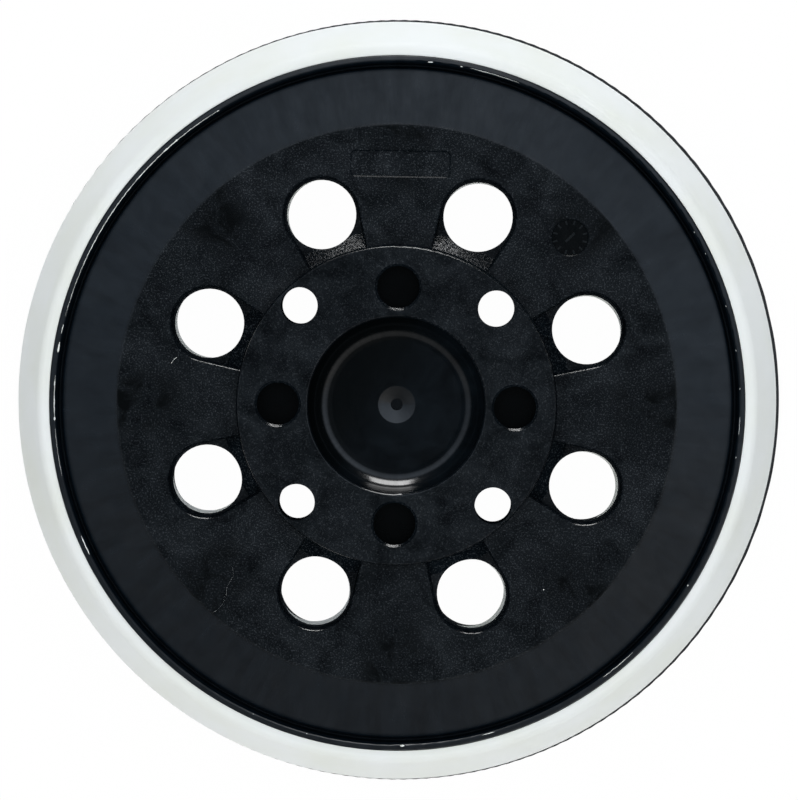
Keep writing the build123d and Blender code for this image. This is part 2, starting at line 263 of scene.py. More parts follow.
def nylon_material(finish):
    """Moulded glass-filled nylon: a dull spark-eroded web, a smoother sloping ring, a polished cup."""
    material, tree, shader, place = new_material("Glass-filled nylon, moulded")
    level = add_node(tree, "ShaderNodeVectorMath", {0: place, 1: (1, 1, 0)}, operation="MULTIPLY")
    radius = add_node(tree, "ShaderNodeVectorMath", {0: level}, operation="LENGTH")
    axes = add_node(tree, "ShaderNodeSeparateXYZ", {0: place})
    angle = add_node(tree, "ShaderNodeMath", {0: axes.outputs["Y"], 1: axes.outputs["X"]}, operation="ARCTAN2")

    # Zones by radius: the cup, the web's smudged part, the sloping ring, its rolled outer edge, and the lip.
    zones = []
    for (start, full), fade in ((CUP_ZONE, "SMOOTHSTEP"), (SMUDGE_ZONE, "SMOOTHSTEP"), (RING_ZONE, "SMOOTHSTEP"),
                                (ROLL_ZONE, "LINEAR"), (LIP_ZONE, "LINEAR")):
        zones.append(add_node(tree, "ShaderNodeMapRange", {"Value": radius, "From Min": start, "From Max": full},
                              interpolation_type=fade))
    cup, far_out, ring, roll, lip = zones
    smooth = add_node(tree, "ShaderNodeMath", {0: ring, 1: cup}, operation="MAXIMUM")
    eroded = add_node(tree, "ShaderNodeMath", {0: 1.0, 1: smooth}, operation="SUBTRACT")

    # Spark-eroded grain is about 0.1 mm, drawn at 0.26 mm so that it shows. Flow patches are about 5 mm.
    grain = add_node(tree, "ShaderNodeTexNoise",
                     {"Vector": place, "Scale": 1 / (0.26 * MM), "Detail": 2.0, "Roughness": 0.6})
    patches = add_node(tree, "ShaderNodeTexNoise",
                       {"Vector": place, "Scale": 1 / (5 * MM), "Detail": 5.0, "Roughness": 0.62, "Distortion": 0.6})

    # Streaks of the melt run outwards on the ring: about 2 mm apart, 9 mm long.
    turned = add_node(tree, "ShaderNodeMath", {0: angle, 1: 22.0}, operation="MULTIPLY")
    outward = add_node(tree, "ShaderNodeMath", {0: radius, 1: 1 / (9 * MM)}, operation="MULTIPLY")
    polar = add_node(tree, "ShaderNodeCombineXYZ", {"X": turned, "Y": outward})
    streaks = add_node(tree, "ShaderNodeTexNoise", {"Vector": polar, "Scale": 1.0, "Detail": 4.0, "Roughness": 0.7})

    # Resin-rich patches over the eight ribs, near the web's edge.
    eighths = add_node(tree, "ShaderNodeMath", {0: angle, 1: 8.0}, operation="MULTIPLY")
    crest = add_node(tree, "ShaderNodeMath", {0: eighths}, operation="COSINE")
    over_rib = add_node(tree, "ShaderNodeMapRange", {"Value": crest, "From Min": 0.3, "From Max": 1.0},
                        interpolation_type="SMOOTHSTEP")
    patchy = add_node(tree, "ShaderNodeMapRange", {"Value": patches, "From Min": 0.4, "From Max": 0.62},
                      interpolation_type="SMOOTHSTEP")
    on_web = add_node(tree, "ShaderNodeMath", {0: axes.outputs["Z"], 1: WEB_LEVEL}, operation="GREATER_THAN")
    smudge = eroded
    for share in (over_rib, far_out, patchy, on_web):
        smudge = add_node(tree, "ShaderNodeMath", {0: smudge, 1: share}, operation="MULTIPLY")

    # The cup is darker towards the upper left.
    across = add_node(tree, "ShaderNodeVectorMath", {0: place, 1: (-0.87, 0.5, 0)}, operation="DOT_PRODUCT")
    darker_upper_left = add_node(tree, "ShaderNodeMapRange",
                     {"Value": across.outputs["Value"], "From Min": -4 * MM, "From Max": 8 * MM},
                     interpolation_type="SMOOTHSTEP")
    darker_upper_left = add_node(tree, "ShaderNodeMath", {0: darker_upper_left, 1: cup}, operation="MULTIPLY")

    # Specks of foam dust, 0.2 mm across, one to a cell of 4 mm: in a third of the cells in the cup, else in a few.
    cells = add_node(tree, "ShaderNodeTexVoronoi", {"Vector": place, "Scale": 1 / (4 * MM)})
    hue = add_node(tree, "ShaderNodeSeparateColor", {0: cells.outputs["Color"]})
    near = add_node(tree, "ShaderNodeMath", {0: cells.outputs["Distance"], 1: 0.025}, operation="LESS_THAN")
    rare = add_node(tree, "ShaderNodeMapRange", {"Value": cup, "To Min": 0.93, "To Max": 0.65})
    chosen = add_node(tree, "ShaderNodeMath", {0: hue.outputs["Red"], 1: rare}, operation="GREATER_THAN")
    speck = add_node(tree, "ShaderNodeMath", {0: near, 1: chosen}, operation="MULTIPLY")

    # The date dial is a polished insert in the mould. The tops of its raised ticks are a painted highlight.
    from_dial = add_node(tree, "ShaderNodeVectorMath", {0: level, 1: DIAL_CENTRE}, operation="DISTANCE")
    dial = add_node(tree, "ShaderNodeMath", {0: from_dial.outputs["Value"], 1: DIAL_RADIUS}, operation="LESS_THAN")
    raised = add_node(tree, "ShaderNodeMath", {0: axes.outputs["Z"], 1: DIAL_FLOOR}, operation="GREATER_THAN")
    painted_tick_highlight = add_node(tree, "ShaderNodeMath", {0: dial, 1: raised}, operation="MULTIPLY")

    # The blind sockets lie between cup and hub edge, on the axes, below the hub's face.
    # Their insides are painted dark with the smudge colour, as painted shade.
    off_x = add_node(tree, "ShaderNodeMath", {0: axes.outputs["X"]}, operation="ABSOLUTE")
    off_y = add_node(tree, "ShaderNodeMath", {0: axes.outputs["Y"]}, operation="ABSOLUTE")
    off_axis = add_node(tree, "ShaderNodeMath", {0: off_x, 1: off_y}, operation="MINIMUM")
    on_axis = add_node(tree, "ShaderNodeMath", {0: off_axis, 1: SOCKETS_REACH}, operation="LESS_THAN")
    below = add_node(tree, "ShaderNodeMath", {0: axes.outputs["Z"], 1: SOCKETS_BELOW}, operation="LESS_THAN")
    past_cup = add_node(tree, "ShaderNodeMath", {0: radius, 1: SOCKETS_FROM}, operation="GREATER_THAN")
    on_hub = add_node(tree, "ShaderNodeMath", {0: radius, 1: SOCKETS_TO}, operation="LESS_THAN")
    socket = on_axis
    for share in (past_cup, on_hub, below):
        socket = add_node(tree, "ShaderNodeMath", {0: socket, 1: share}, operation="MULTIPLY")

    # The ramps from the hub down to the dust holes are coarsely eroded: outside the hub, tilted about 38 degrees.
    facing = add_node(tree, "ShaderNodeSeparateXYZ", {0: add_node(tree, "ShaderNodeTexCoord").outputs["Normal"]})
    level_face = add_node(tree, "ShaderNodeMath", {0: facing.outputs["Z"]}, operation="ABSOLUTE")
    ramp = add_node(tree, "ShaderNodeMath", {0: level_face, 1: RAMPS_SLOPE, 2: 0.06}, operation="COMPARE")
    before_web = add_node(tree, "ShaderNodeMath", {0: radius, 1: RAMPS_TO}, operation="LESS_THAN")
    past_hub = add_node(tree, "ShaderNodeMath", {0: radius, 1: RAMPS_FROM}, operation="GREATER_THAN")
    for share in (before_web, past_hub):
        ramp = add_node(tree, "ShaderNodeMath", {0: ramp, 1: share}, operation="MULTIPLY")
    upper = add_node(tree, "ShaderNodeMapRange",
                     {"Value": axes.outputs["Y"], "From Min": 0.0, "From Max": 20 * MM, "To Min": 0.15, "To Max": 1.0})

    # How far the patches and the streaks change each look: the least and the most.
    swings = []
    for source, full, least, most in (
        (patches, 0.72, 0.5, 1.5), (streaks, 0.7, 0.7, 1.3), (patches, 0.7, 0.26, 0.34),
        (streaks, 0.7, 0.22, 0.28), (streaks, 0.7, 0.88, 1.12), (patches, 0.7, 0.85, 1.15),
    ):
        swings.append(add_node(tree, "ShaderNodeMapRange", {"Value": source, "From Min": 0.3, "From Max": full,
                                                            "To Min": least, "To Max": most}))
    uneven, streaked, dull, satin, drawn, mottled = swings
    web = add_node(tree, "ShaderNodeVectorMath", {0: finish.nylon, "Scale": uneven}, operation="SCALE")
    fleck = add_node(tree, "ShaderNodeMapRange", {"Value": grain, "From Min": 0.55, "From Max": 0.67})
    rubbed = add_node(tree, "ShaderNodeMapRange", {"Value": past_hub, "To Min": 0.55, "To Max": 1.0})
    for share in (eroded, rubbed):
        fleck = add_node(tree, "ShaderNodeMath", {0: fleck, 1: share}, operation="MULTIPLY")
    worn = add_node(tree, "ShaderNodeMath", {0: fleck, 1: uneven}, operation="MULTIPLY", use_clamp=True)
    web = add_node(tree, "ShaderNodeMix", {"Factor": worn, "A": web.outputs["Vector"], "B": (*finish.fleck, 1)},
                   data_type="RGBA")
    web = web.outputs[2]
    slope = add_node(tree, "ShaderNodeVectorMath", {0: finish.ring_nylon, "Scale": streaked}, operation="SCALE")
    colour = add_node(tree, "ShaderNodeMix", {"Factor": ring, "A": web, "B": slope}, data_type="RGBA")
    # Dark: the dial, the rib patches, the cup's upper left, and painted shade in the sockets.
    dark = add_node(tree, "ShaderNodeMath", {0: dial, 1: socket}, operation="MAXIMUM")
    for share in (smudge, darker_upper_left):
        dark = add_node(tree, "ShaderNodeMath", {0: dark, 1: share}, operation="MAXIMUM")
    # The ticks' tops are a painted highlight, in the rubbed colour.
    for share, shade in ((dark, finish.smudge), (painted_tick_highlight, finish.rubbed), (speck, finish.foam)):
        colour = add_node(tree, "ShaderNodeMix", {"Factor": share, "A": colour, "B": (*shade, 1)}, data_type="RGBA")
    tree.links.new(colour.outputs[2], shader.inputs["Base Color"])

    # Rounded edges and ramps were polished in the mould, where the electrode could not reach. The edges of the code
    # panel and the dial weren't.
    edge = add_node(tree, "ShaderNodeMapRange", {"Value": level_face, "From Min": 0.97, "From Max": 0.9})
    past_ports = add_node(tree, "ShaderNodeMath", {0: radius, 1: MARKS_FROM}, operation="GREATER_THAN")
    beyond = add_node(tree, "ShaderNodeMath", {0: axes.outputs["Y"], 1: MARKS_BEYOND}, operation="GREATER_THAN")
    marked = edge
    for share in (past_ports, beyond):
        marked = add_node(tree, "ShaderNodeMath", {0: marked, 1: share}, operation="MULTIPLY")
    edge = add_node(tree, "ShaderNodeMath", {0: edge, 1: marked}, operation="SUBTRACT")
    polished = add_node(tree, "ShaderNodeMath", {0: cup, 1: dial}, operation="MAXIMUM")
    rough = dull
    for share, roughness in ((edge, 0.16), (ring, satin), (polished, 0.15), (lip, 0.4)):
        rough = add_node(tree, "ShaderNodeMix", {"Factor": share, "A": rough, "B": roughness}, data_type="FLOAT")
    tree.links.new(rough.outputs[0], shader.inputs["Roughness"])
    shader.inputs["IOR"].default_value = 1.53
    # Upright walls are scuffed dull by the draw of the mould.
    gloss = add_node(tree, "ShaderNodeMapRange",
                     {"Value": level_face, "From Min": 0.15, "From Max": 0.5, "To Max": 0.3})
    paler = add_node(tree, "ShaderNodeMath", {0: lip, 1: 0.35, 2: 1.0}, operation="MULTIPLY_ADD")
    for share in (mottled, paler):
        drawn = add_node(tree, "ShaderNodeMath", {0: drawn, 1: share}, operation="MULTIPLY")
    clouded = add_node(tree, "ShaderNodeMix", {"Factor": eroded, "A": drawn, "B": uneven}, data_type="FLOAT")
    gloss = add_node(tree, "ShaderNodeMath", {0: gloss, 1: clouded}, operation="MULTIPLY")
    # Edges shine, and so does the dimple left by the gate. The lip doesn't, and the marks' edges are muted.
    dimple = add_node(tree, "ShaderNodeMath", {0: radius, 1: DIMPLE_RADIUS}, operation="LESS_THAN")
    bright = edge
    for share in (ramp, lip):
        bright = add_node(tree, "ShaderNodeMath", {0: bright, 1: share}, operation="SUBTRACT")
    bright = add_node(tree, "ShaderNodeMath", {0: bright, 1: dimple}, operation="MAXIMUM")
    shine = add_node(tree, "ShaderNodeMath", {0: bright, 1: 0.8, 2: 1.0}, operation="MULTIPLY_ADD")
    muted = add_node(tree, "ShaderNodeMath", {0: marked, 1: -0.6, 2: 1.0}, operation="MULTIPLY_ADD")
    shine = add_node(tree, "ShaderNodeMath", {0: shine, 1: muted}, operation="MULTIPLY")
    # The grains of the ramps glint one by one, mostly near the line to the key light.
    glint = add_node(tree, "ShaderNodeMapRange",
                     {"Value": grain, "From Min": 0.4, "From Max": 0.62, "To Min": 0.3, "To Max": 3.0})
    beside = add_node(tree, "ShaderNodeMapRange",
                      {"Value": off_x, "From Min": 12 * MM, "From Max": 6.5 * MM, "To Min": 0.25, "To Max": 1.1})
    beside = add_node(tree, "ShaderNodeMath", {0: beside, 1: upper}, operation="MULTIPLY")
    glint = add_node(tree, "ShaderNodeMath", {0: glint, 1: beside}, operation="MULTIPLY")
    shine = add_node(tree, "ShaderNodeMix", {"Factor": ramp, "A": shine, "B": glint}, data_type="FLOAT")
    gloss = add_node(tree, "ShaderNodeMath", {0: gloss, 1: shine}, operation="MULTIPLY")
    # Less shine in the rib patches and in the painted shade of the sockets.
    hidden = add_node(tree, "ShaderNodeMath", {0: smudge, 1: socket}, operation="MAXIMUM")
    gloss = add_node(tree, "ShaderNodeMix", {"Factor": hidden, "A": gloss, "B": 0.1}, data_type="FLOAT")
    tree.links.new(gloss.outputs[0], shader.inputs["Specular IOR Level"])

    # The ring's outer edge rolls over by about 12 degrees before it falls into the groove.
    rolled = add_node(tree, "ShaderNodeMath", {0: roll, 1: roll}, operation="MULTIPLY")
    worn_off = add_node(tree, "ShaderNodeBump", {"Strength": 1.0, "Distance": 0.095 * MM, "Height": rolled},
                        invert=True)
    pits = add_node(tree, "ShaderNodeMath", {0: grain, 1: eroded}, operation="MULTIPLY")
    coarse = add_node(tree, "ShaderNodeMath", {0: ramp, 1: upper}, operation="MULTIPLY")
    depth = add_node(tree, "ShaderNodeMath", {0: coarse, 1: 0.3 * MM, 2: 0.05 * MM}, operation="MULTIPLY_ADD")
    pitted = add_node(tree, "ShaderNodeBump",
                      {"Strength": 0.5, "Distance": depth, "Height": pits, "Normal": worn_off})
    flowed = add_node(tree, "ShaderNodeBump",
                      {"Strength": 0.2, "Distance": 0.1 * MM, "Height": patches, "Normal": pitted})
    tree.links.new(flowed.outputs["Normal"], shader.inputs["Normal"])
    return material


def foam_material(finish):
    """Cast polyurethane foam with a closed matt skin: off-white, a little yellowed in patches, finely pitted."""
    material, tree, shader, place = new_material("Polyurethane foam, moulded skin")
    clouds = add_node(tree, "ShaderNodeTexNoise", {"Vector": place, "Scale": 1 / (14 * MM), "Detail": 3.0})
    aged = add_node(tree, "ShaderNodeMapRange", {"Value": clouds, "From Min": 0.4, "From Max": 0.7, "To Max": 0.6})
    colour = add_node(tree, "ShaderNodeMix", {"Factor": aged, "A": (*finish.foam, 1), "B": (*finish.old_foam, 1)},
                      data_type="RGBA")
    tree.links.new(colour.outputs[2], shader.inputs["Base Color"])
    shader.inputs["Roughness"].default_value = 0.62
    shader.inputs["IOR"].default_value = 1.45
    shader.inputs["Specular IOR Level"].default_value = 0.3

    # Burst bubbles in the skin are about 0.1 mm, drawn at 0.3 mm so that they show.
    bubbles = add_node(tree, "ShaderNodeTexVoronoi", {"Vector": place, "Scale": 1 / (1.1 * MM)})
    pit = add_node(tree, "ShaderNodeMapRange", {"Value": bubbles, "From Max": 0.16}, interpolation_type="SMOOTHSTEP")
    skin = add_node(tree, "ShaderNodeTexNoise", {"Vector": place, "Scale": 1 / (0.6 * MM), "Detail": 3.0})
    pitted = add_node(tree, "ShaderNodeBump", {"Strength": 0.12, "Distance": 0.05 * MM, "Height": pit})
    grained = add_node(tree, "ShaderNodeBump",
                       {"Strength": 0.12, "Distance": 0.05 * MM, "Height": skin, "Normal": pitted})
    tree.links.new(grained.outputs["Normal"], shader.inputs["Normal"])
    return material


def film_material(finish):
    """Polyurethane film tinted black: a thin dark edge between foam and fabric."""
    material, tree, shader, place = new_material("Polyurethane film")
    clouds = add_node(tree, "ShaderNodeTexNoise", {"Vector": place, "Scale": 1 / (3 * MM), "Detail": 2.0})
    shade = add_node(tree, "ShaderNodeMapRange",
                     {"Value": clouds, "From Min": 0.3, "From Max": 0.7, "To Min": 0.85, "To Max": 1.1})
    colour = add_node(tree, "ShaderNodeVectorMath", {0: finish.film, "Scale": shade}, operation="SCALE")
    tree.links.new(colour.outputs["Vector"], shader.inputs["Base Color"])
    shader.inputs["Roughness"].default_value = 0.4
    shader.inputs["IOR"].default_value = 1.5
    return material


def yarn_material(name, colour, pitch):
    """Woven nylon yarn: matt black, with the fine over and under of the threads and a faint sheen."""
    material, tree, shader, place = new_material(name)
    axes = add_node(tree, "ShaderNodeSeparateXYZ", {0: place})
    # Four threads to a row: about 0.5 mm each.
    thread = 4 * 2 * math.pi / pitch
    waves = []
    for axis in "XY":
        phase = add_node(tree, "ShaderNodeMath", {0: axes.outputs[axis], 1: thread}, operation="MULTIPLY")
        waves.append(add_node(tree, "ShaderNodeMath", {0: phase}, operation="SINE"))
    weave = add_node(tree, "ShaderNodeMath", {0: waves[0], 1: waves[1]}, operation="MULTIPLY")
    fuzz = add_node(tree, "ShaderNodeTexNoise", {"Vector": place, "Scale": 1 / (0.5 * MM), "Detail": 3.0})
    shade = add_node(tree, "ShaderNodeMapRange",
                     {"Value": fuzz, "From Min": 0.3, "From Max": 0.7, "To Min": 0.7, "To Max": 1.5})
    worn = add_node(tree, "ShaderNodeVectorMath", {0: colour, "Scale": shade}, operation="SCALE")
    tree.links.new(worn.outputs["Vector"], shader.inputs["Base Color"])
    shader.inputs["Roughness"].default_value = 0.5
    shader.inputs["IOR"].default_value = 1.53
    shader.inputs["Sheen Weight"].default_value = 0.15
    bump = add_node(tree, "ShaderNodeBump", {"Strength": 0.5, "Distance": 0.06 * MM, "Height": weave})
    tree.links.new(bump.outputs["Normal"], shader.inputs["Normal"])
    return material


def paper_material(finish):
    """Seamless paper: lit to white for the eye and in reflections, with a trace of the pad's shadow."""
    material, tree, shader, place = new_material("Seamless paper")
    fibres = add_node(tree, "ShaderNodeTexNoise", {"Vector": place, "Scale": 1 / (2 * MM), "Detail": 2.0})
    shade = add_node(tree, "ShaderNodeMapRange",
                     {"Value": fibres, "From Min": 0.3, "From Max": 0.7, "To Min": 0.99, "To Max": 1.0})
    colour = add_node(tree, "ShaderNodeVectorMath", {0: finish.paper, "Scale": shade}, operation="SCALE")
    tree.links.new(colour.outputs["Vector"], shader.inputs["Base Color"])
    shader.inputs["Roughness"].default_value = 1.0
    shader.inputs["Specular IOR Level"].default_value = 0.0
    path = add_node(tree, "ShaderNodeLightPath")
    looked = path.outputs["Is Camera Ray"]
    for kind in ("Is Glossy Ray", "Is Transmission Ray"):
        looked = add_node(tree, "ShaderNodeMath", {0: looked, 1: path.outputs[kind]}, operation="MAXIMUM")
    share = add_node(tree, "ShaderNodeMath", {0: looked, 1: 0.985}, operation="MULTIPLY")
    white = add_node(tree, "ShaderNodeEmission", {"Color": (1, 1, 1, 1), "Strength": 1.0})
    mixed = add_node(tree, "ShaderNodeMixShader", {0: share, 1: shader, 2: white})
    output = next(n for n in tree.nodes if n.type == "OUTPUT_MATERIAL")
    tree.links.new(mixed.outputs["Shader"], output.inputs["Surface"])
    return material


def rounded(before, corner, after, radius, steps):
    """The points of the arc that rounds a corner of a profile."""
    before, corner, after = Vector(before), Vector(corner), Vector(after)
    back, ahead = (before - corner).normalized(), (after - corner).normalized()
    half = back.angle(ahead) / 2
    middle = corner + (back + ahead).normalized() * radius / math.sin(half)
    first = corner + back * radius / math.tan(half) - middle
    last = corner + ahead * radius / math.tan(half) - middle
    turn = first.angle_signed(last)
    points = []
    for i in range(steps + 1):
        t = -turn * i / steps
        x = first.x * math.cos(t) - first.y * math.sin(t)
        y = first.x * math.sin(t) + first.y * math.cos(t)
        points.append((middle.x + x, middle.y + y))
    return points


def between(start, end, steps):
    """Points on the line between two points of a profile, without its ends."""
    return [tuple(Vector(start).lerp(Vector(end), i / steps)) for i in range(1, steps)]


def turned_mesh(name, profile, segments, outline):
    """A closed mesh turned about Z from (radius, level) points; outline gives the radius at an angle."""
    made = bmesh.new()
    rings = []
    for radius, level in profile:
        ring = []
        for i in range(segments):
            t = 2 * math.pi * i / segments
            r = outline(radius, t)
            ring.append(made.verts.new((r * math.cos(t), r * math.sin(t), level)))
        rings.append(ring)
    for low, high in zip(rings, rings[1:]):
        for i in range(segments):
            j = (i + 1) % segments
            made.faces.new((low[i], low[j], high[j], high[i]))
    made.faces.new(rings[0])
    made.faces.new(rings[-1])
    bmesh.ops.recalc_face_normals(made, faces=made.faces)
    mesh = bpy.data.meshes.new(name)
    made.to_mesh(mesh)
    made.free()
    return mesh


def new_tree(name, inputs):
    """A Geometry Nodes tree with named inputs; returns it and its input node's outputs."""
    tree = bpy.data.node_groups.new(name, "GeometryNodeTree")
    tree.interface.new_socket("Geometry", in_out="INPUT", socket_type="NodeSocketGeometry")
    for label, value in inputs.items():
        kind = {int: "Int", float: "Float"}.get(type(value), "Vector")
        tree.interface.new_socket(label, in_out="INPUT", socket_type="NodeSocket" + kind)
    tree.interface.new_socket("Geometry", in_out="OUTPUT", socket_type="NodeSocketGeometry")
    return tree, add_node(tree, "NodeGroupInput").outputs


def end_tree(tree, geometry, material):
    """Makes copies real, sets the material and links the result to the tree's output."""
    real = add_node(tree, "GeometryNodeRealizeInstances", {"Geometry": geometry})
    dressed = add_node(tree, "GeometryNodeSetMaterial", {"Geometry": real, "Material": material})
    add_node(tree, "NodeGroupOutput", {"Geometry": dressed})


def on_circle(tree, count, circle, angle, shift=(0, 0, 0)):
    """The points of a pattern of holes, moved off centre by a shift."""
    ring = add_node(tree, "GeometryNodeMeshCircle", {"Vertices": count, "Radius": circle})
    spin = add_node(tree, "ShaderNodeCombineXYZ", {"Z": angle})
    return add_node(tree, "GeometryNodeTransform", {"Geometry": ring, "Rotation": spin, "Translation": shift})


def cut_round(tree, shape, cutter, count, circle, angle, shift=(0, 0, 0)):
    """Cuts copies of a cutter out of a shape, on a circle and turned to face outwards."""
    here = add_node(tree, "ShaderNodeSeparateXYZ", {0: add_node(tree, "GeometryNodeInputPosition")})
    facing = add_node(tree, "ShaderNodeMath", {0: here.outputs["Y"], 1: here.outputs["X"]}, operation="ARCTAN2")
    turn = add_node(tree, "ShaderNodeCombineXYZ", {"Z": facing})
    points = on_circle(tree, count, circle, angle, shift)
    copies = add_node(tree, "GeometryNodeInstanceOnPoints", {"Points": points, "Instance": cutter, "Rotation": turn})
    real = add_node(tree, "GeometryNodeRealizeInstances", {"Geometry": copies})
    return add_node(tree, "GeometryNodeMeshBoolean", {"Mesh 1": shape, "Mesh 2": real},
                    operation="DIFFERENCE", solver="EXACT")


def piece_from(name, mesh, tree, values, smooth_below):
    """Runs a tree on a mesh and makes a plain mesh piece of the result, which rides on the pad."""
    source = bpy.data.objects.new(name + "_source", mesh)
    bpy.context.scene.collection.objects.link(source)
    modifier = source.modifiers.new("Shape", "NODES")
    modifier.node_group = tree
    for socket in tree.interface.items_tree:
        if socket.in_out == "INPUT" and socket.name in values:
            modifier[socket.identifier] = values[socket.name]
    evaluated = source.evaluated_get(bpy.context.evaluated_depsgraph_get())
    made = bpy.data.meshes.new_from_object(evaluated)
    made.name = name
    source.modifiers.remove(modifier)
    bpy.data.objects.remove(source)
    if not made.polygons:
        raise RuntimeError(name + " came out empty")
    made.shade_smooth()
    made.set_sharp_from_angle(angle=smooth_below)
    piece = bpy.data.objects.new(name, made)
    bpy.context.scene.collection.objects.link(piece)
    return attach(piece, BODY)


def hole_values(margin):
    """The tree inputs for the holes through the pad, widened by a margin."""
    holes = bpy.context.scene.backing_pad.holes
    return {
        "Dust holes": holes.dust_count,
        "Dust circle": holes.dust_circle,
        "Dust radius": holes.dust_radius + margin,
        "Dust angle": holes.dust_angle,
        "Screws": holes.screw_count,
        "Screw circle": holes.screw_circle,
        "Screw access": holes.screw_access + margin,
        "Screw angle": holes.screw_angle,
    }


def hole_cutters(tree, given):
    """The cutters for a dust hole and for a driver's hole."""
    return [add_node(tree, "GeometryNodeMeshCylinder",
                     {"Vertices": HOLE_SIDES, "Radius": given[reach], "Depth": given["Through"]})
            for reach in ("Dust radius", "Screw access")]


def dress_node(name, material):
    """Gives a node of the frame its material."""
    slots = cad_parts[name].data.materials
    slots.clear()
    slots.append(material)


class PAD_OT_stage(bpy.types.Operator):
    """Sets the paper, the softboxes, the room's light and the camera"""

    bl_idname = "pad.stage"
    bl_label = "Stage"

    def execute(self, context):
        scene = context.scene
        stage = scene.backing_pad.stage
        scene.view_settings.view_transform = "Standard"

        half = 3.0  # half the paper's width, in metres
        mesh = bpy.data.meshes.new("paper")
        corners = [(-half, -half, 0), (half, -half, 0), (half, half, 0), (-half, half, 0)]
        mesh.from_pydata(corners, [], [(0, 1, 2, 3)])
        mesh.materials.append(paper_material(scene.backing_pad.finish))
        paper = bpy.data.objects.new("paper", mesh)
        scene.collection.objects.link(paper)

        # The gleam shows only in reflections, and the others never do: name, power, width, height, place.
        lamps = (
            ("gleam", stage.gleam_power, 0.32, 0.3, (0.021, 0.557, 0.203)),
            ("key", stage.key_power, 0.3, 0.28, (0.02, 0.52, 0.19)),
            ("top", stage.top_power, 0.5, 0.5, (0, 0, 0.8)),
            ("front", stage.front_power, 0.5, 0.2, (0, -0.5, 0.36)),
            ("left", stage.side_power, 0.4, 0.2, (-0.5, 0, 0.36)),
            ("right", stage.side_power, 0.4, 0.2, (0.5, 0, 0.36)),
        )
        for name, power, wide, high, place in lamps:
            lamp = bpy.data.lights.new(name, "AREA")
            lamp.shape = "RECTANGLE"
            lamp.size, lamp.size_y = wide, high
            lamp.energy = power
            softbox = bpy.data.objects.new(name, lamp)
            softbox.location = place
            softbox.rotation_euler = (-softbox.location).to_track_quat("-Z", "Y").to_euler()
            softbox.visible_glossy = name == "gleam"
            softbox.visible_diffuse = name != "gleam"
            scene.collection.objects.link(softbox)

        # A light tent with an open top and dark walls, so that the level plate stays dark and its slopes catch light.
        # Heights in it are sines of the angle above the horizon. It is brighter at the back and on the right.
        world = bpy.data.worlds.new("Room")
        world.use_nodes = True
        tree = world.node_tree
        tree.nodes.clear()
        seen = add_node(tree, "ShaderNodeTexCoord").outputs["Generated"]
        up = add_node(tree, "ShaderNodeSeparateXYZ", {0: seen})
        lean = add_node(tree, "ShaderNodeVectorMath", {0: seen, 1: (0.35, 0.6, 0)}, operation="DOT_PRODUCT")
        share = add_node(tree, "ShaderNodeMath", {0: lean.outputs["Value"], 1: 1.0}, operation="ADD")
        slopes = add_node(tree, "ShaderNodeMath", {0: share, 1: stage.tent}, operation="MULTIPLY")
        fades = []
        for axis, start, full in (("Z", 0.572, 0.8), ("Z", 0.9, 0.947), ("X", -0.07, 0.01), ("Y", -0.3, -0.02)):
            fades.append(add_node(tree, "ShaderNodeMapRange",
                                  {"Value": up.outputs[axis], "From Min": start, "From Max": full},
                                  interpolation_type="SMOOTHSTEP"))
        rising, opening, rightward, behind = fades
        walls = add_node(tree, "ShaderNodeMix", {"Factor": rising, "A": stage.horizon, "B": slopes}, data_type="FLOAT")
        sky = add_node(tree, "ShaderNodeMix",
                       {"Factor": rightward, "A": 0.3 * stage.zenith, "B": 1.15 * stage.zenith}, data_type="FLOAT")
        bright = add_node(tree, "ShaderNodeMix", {"Factor": opening, "A": walls, "B": sky}, data_type="FLOAT")
        finish = scene.backing_pad.finish
        tint = add_node(tree, "ShaderNodeMix",
                        {"Factor": behind, "A": (*finish.lamplight, 1), "B": (*finish.daylight, 1)}, data_type="RGBA")
        room = add_node(tree, "ShaderNodeBackground", {"Color": tint.outputs[2], "Strength": bright})
        add_node(tree, "ShaderNodeOutputWorld", {"Surface": room})
        scene.world = world

        lens = bpy.data.cameras.new("camera")
        lens.sensor_fit = "VERTICAL"
        lens.sensor_height = 36
        lens.lens = stage.lens
        lens.clip_start = 0.01
        camera = bpy.data.objects.new("camera", lens)
        camera.location = (stage.camera_x, stage.camera_y, stage.camera_z)
        camera.rotation_euler = (stage.camera_pitch, stage.camera_yaw, stage.camera_roll)
        scene.collection.objects.link(camera)
        scene.camera = camera
        return {"FINISHED"}


class PAD_OT_backing_plate(bpy.types.Operator):
    """Gives the moulded plate its nylon"""

    bl_idname = "pad.backing_plate"
    bl_label = "Backing plate"

    def execute(self, context):
        dress_node("backing_plate", nylon_material(context.scene.backing_pad.finish))
        return {"FINISHED"}


